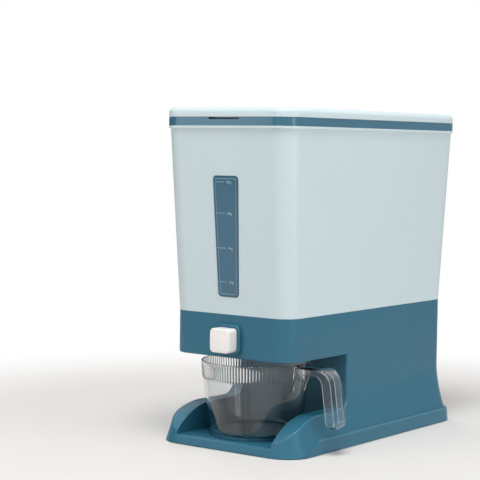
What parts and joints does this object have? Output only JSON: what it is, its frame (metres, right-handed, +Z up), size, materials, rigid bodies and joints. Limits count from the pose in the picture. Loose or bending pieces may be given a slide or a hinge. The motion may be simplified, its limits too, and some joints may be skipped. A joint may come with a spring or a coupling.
{
  "type": "rice storage bin",
  "caption": "Free-standing kitchen rice bin: tapered hopper with hinged lid and level window, on a flared base with a push-button outlet over a clear measuring cup.",
  "frame": {"origin": "on the surface it stands on, at the centre of the base's footprint; the base's rim is 0.8 mm above it, on rubber feet", "axes": "+Z up, -Y towards the front with the button and cup, +X to the right seen from the front"},
  "size_m": [0.223, 0.3948, 0.3955],
  "materials": {
    "teal_plastic": "fine satin moulding",
    "pale_blue_plastic": "satin moulding",
    "white_plastic": "semi-gloss moulding",
    "smoky_clear_plastic": "polished, smoky and see-through",
    "clear_plastic": "polished and clear",
    "screw_steel": "zinc plated",
    "spring_steel": "drawn wire",
    "grey_rubber": "matte"
  },
  "bodies": {
    "base": {"base_housing": "teal_plastic", "hopper": "pale_blue_plastic", "level_window": "smoky_clear_plastic", "outlet_chute": "white_plastic", "chute_screws": "screw_steel", "hopper_screws": "screw_steel", "return_spring": "spring_steel", "lid_collar": "teal_plastic", "hinge_pin_left": "screw_steel", "hinge_pin_right": "screw_steel", "foot_front_left": "grey_rubber", "foot_front_right": "grey_rubber", "foot_rear_left": "grey_rubber", "foot_rear_right": "grey_rubber"},
    "lid": {"lid_cover": "pale_blue_plastic", "lid_liner": "pale_blue_plastic", "lid_seal": "grey_rubber"},
    "dispenser": {"button_cap": "white_plastic", "push_rod": "white_plastic", "gate_slider": "white_plastic"},
    "cup": {"measuring_cup": "clear_plastic"}
  },
  "joints": [
    {"name": "lid_hinge", "type": "hinge", "parent": "base", "child": "lid", "pos_m": [0, 0.19585, 0.38455], "axis": [-1, 0, 0], "range_deg": [0, 105]},
    {"name": "button_press", "type": "slide", "parent": "base", "child": "dispenser", "axis": [0, 1, 0], "range_m": [0, 0.009], "stiffness_N_per_m": 180, "springref_m": -0.01, "deforming": ["return_spring"]},
    {"name": "cup_pull", "type": "slide", "parent": "base", "child": "cup", "axis": [0, -1, 0], "range_m": [0, 0.2]}
  ]
}
